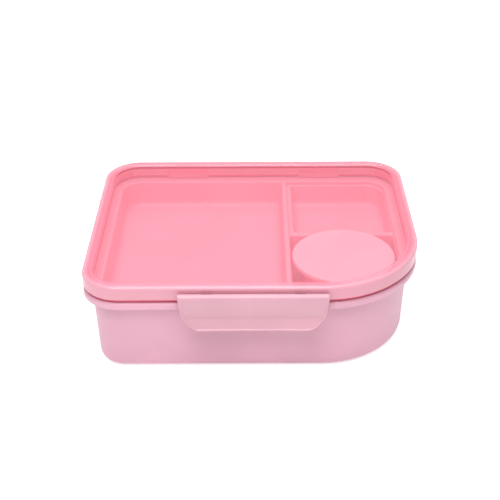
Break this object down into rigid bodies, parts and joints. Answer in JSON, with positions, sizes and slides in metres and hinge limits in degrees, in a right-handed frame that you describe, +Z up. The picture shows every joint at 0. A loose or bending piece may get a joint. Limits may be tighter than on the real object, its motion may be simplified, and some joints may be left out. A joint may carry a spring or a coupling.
{
  "type": "bento lunch box",
  "caption": "Low rectangular lunch box with one swept corner, a see-through hinged lid held by a front clip, a lift-out divided tray and a round sauce cup.",
  "frame": {"origin": "on the table under the middle of the box, measured over the latch and the hinges", "axes": "+X to the right with the latch facing the viewer, +Y towards the hinges, +Z up; the latch faces -Y"},
  "size_m": [0.21, 0.184, 0.0642],
  "materials": {
    "base_plastic": "satin opaque pastel pink polypropylene",
    "tray_plastic": "satin salmon pink polypropylene",
    "cup_plastic": "satin pink polypropylene",
    "cup_lid_plastic": "satin pale pink polypropylene",
    "lid_plastic": "see-through tinted pink, glossy",
    "seal_silicone": "matt silicone",
    "latch_plastic": "satin opaque pastel pink polypropylene",
    "pin_steel": "drawn stainless rod"
  },
  "bodies": {
    "box": {"base_box": "base_plastic", "inner_tray": "tray_plastic", "sauce_cup": "cup_plastic", "sauce_cup_lid": "cup_lid_plastic", "hinge_pin_left": "pin_steel", "hinge_pin_right": "pin_steel"},
    "lid": {"lid": "lid_plastic", "lid_seal": "seal_silicone", "latch_pin": "pin_steel"},
    "latch": {"latch": "latch_plastic"}
  },
  "joints": [
    {"name": "lid_hinge", "type": "hinge", "parent": "box", "child": "lid", "pos_m": [0, 0.0888, 0.055], "axis": [-1, 0, 0], "range_deg": [0, 180]},
    {"name": "latch_hinge", "type": "hinge", "parent": "lid", "child": "latch", "pos_m": [0, -0.0879, 0.0586], "axis": [-1, 0, 0], "range_deg": [0, 95]}
  ]
}
